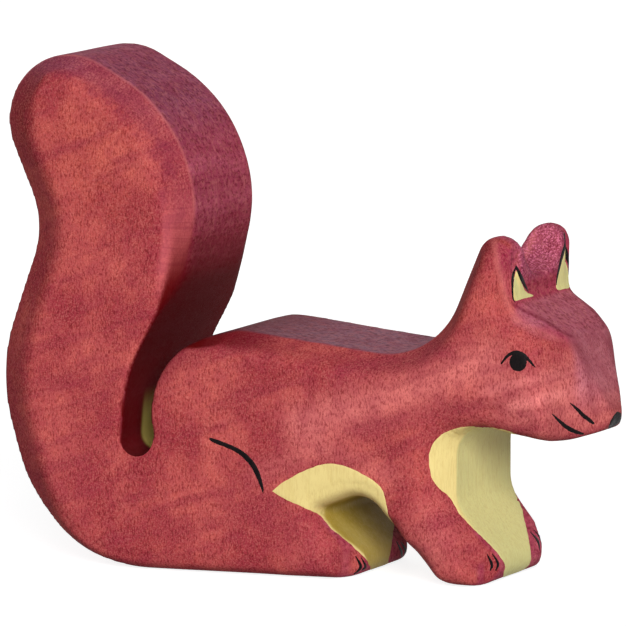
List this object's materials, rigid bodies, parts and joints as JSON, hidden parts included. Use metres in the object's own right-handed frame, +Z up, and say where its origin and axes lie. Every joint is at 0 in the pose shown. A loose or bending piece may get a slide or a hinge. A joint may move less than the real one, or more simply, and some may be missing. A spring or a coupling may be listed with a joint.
{
  "type": "toy squirrel",
  "caption": "Wooden toy squirrel sawn from a thick board, with a tall curled-back tail, sanded edges, red stain and brushed cream and black paint marks; stands on its flat soles.",
  "frame": {"origin": "on the ground under the middle of the figure's length and of the board's thickness", "axes": "+X the way the squirrel looks, +Z up, +Y to the squirrel's left through the thickness of the board"},
  "size_m": [0.0912, 0.0304, 0.0742],
  "materials": {
    "stained_wood": "red water stain, sanded, satin",
    "cream_paint": "brushed paint, matt, grain showing through",
    "black_paint": "brushed paint, slight gloss"
  },
  "bodies": {
    "root": {"wooden_body": "stained_wood", "bib_paint": "cream_paint", "belly_paint": "cream_paint", "right_ear_paint": "cream_paint", "left_ear_paint": "cream_paint", "nose_paint": "black_paint", "right_eye": "black_paint", "right_ear_lines": "black_paint", "right_whiskers": "black_paint", "right_thigh_line": "black_paint", "right_fore_claws": "black_paint", "right_hind_claws": "black_paint", "left_eye": "black_paint", "left_ear_lines": "black_paint", "left_whiskers": "black_paint", "left_thigh_line": "black_paint", "left_fore_claws": "black_paint", "left_hind_claws": "black_paint"}
  },
  "joints": []
}
